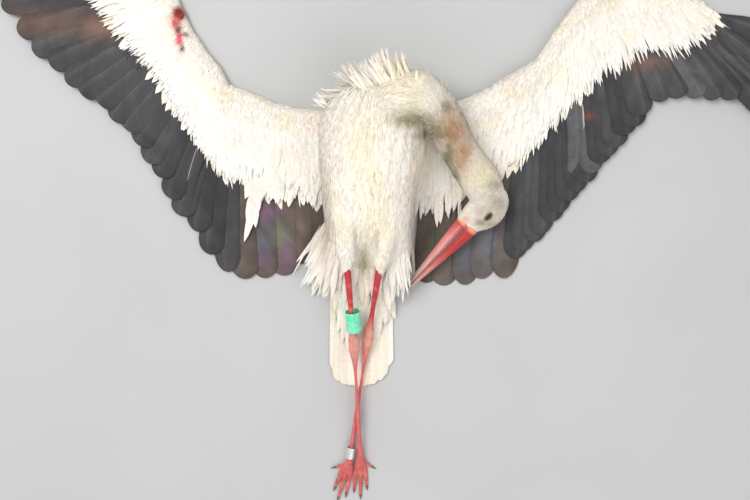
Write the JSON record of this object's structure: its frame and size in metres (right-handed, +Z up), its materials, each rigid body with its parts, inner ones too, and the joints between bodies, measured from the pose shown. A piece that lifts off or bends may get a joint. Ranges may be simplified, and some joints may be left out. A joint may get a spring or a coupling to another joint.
{
  "type": "white stork model",
  "caption": "Life-size white stork lying on its back with spread wings, its neck folded over one shoulder and its legs stretched out behind.",
  "frame": {"origin": "middle of the flat on the bird's back where it rests on the floor", "axes": "+Z up, out of the belly; +Y towards the head end; +X towards the bird's own left wing"},
  "size_m": [1.7582, 1.2861, 0.1698],
  "materials": {
    "white_plumage": "soft matt feathers, warm cream white with yellowish and tan stains",
    "black_feather": "dark grey flight feathers with a faint sheen",
    "brown_feather": "thin grey-brown feathers seen from below",
    "red_horn": "satin red horn, worn and paler towards the tip",
    "red_skin": "scaly pink-red skin",
    "dark_horn": "satin dark brown horn",
    "eye": "wet gloss, dark brown",
    "green_plastic": "plain mint green, slightly scuffed, no marks",
    "pale_metal": "dull pale metal, no marks"
  },
  "bodies": {
    "root": {"bill_lower": "red_horn", "bill_upper": "red_horn", "claw_left_hind": "dark_horn", "claw_left_inner": "dark_horn", "claw_left_middle": "dark_horn", "claw_left_outer": "dark_horn", "claw_right_hind": "dark_horn", "claw_right_inner": "dark_horn", "claw_right_middle": "dark_horn", "claw_right_outer": "dark_horn", "eye_left": "eye", "eye_right": "eye", "foot_left": "red_skin", "foot_right": "red_skin", "head": "white_plumage", "leg_ring_green": "green_plastic", "leg_ring_metal": "pale_metal", "neck_lower": "white_plumage", "neck_middle": "white_plumage", "neck_upper": "white_plumage", "shank_left": "red_skin", "shank_right": "red_skin", "tail": "white_plumage", "tarsus_left": "red_skin", "tarsus_right": "red_skin", "thigh_left": "white_plumage", "thigh_right": "white_plumage", "toe_left_hind": "red_skin", "toe_left_inner": "red_skin", "toe_left_middle": "red_skin", "toe_left_outer": "red_skin", "toe_right_hind": "red_skin", "toe_right_inner": "red_skin", "toe_right_middle": "red_skin", "toe_right_outer": "red_skin", "trunk": "white_plumage", "wing_left_forearm": "white_plumage", "wing_left_hand": "white_plumage", "wing_left_primaries": "black_feather", "wing_left_secondaries": "black_feather", "wing_left_tertials": "brown_feather", "wing_left_upper_arm": "white_plumage", "wing_right_forearm": "white_plumage", "wing_right_hand": "white_plumage", "wing_right_primaries": "black_feather", "wing_right_secondaries": "black_feather", "wing_right_tertials": "brown_feather", "wing_right_upper_arm": "white_plumage"}
  },
  "joints": []
}
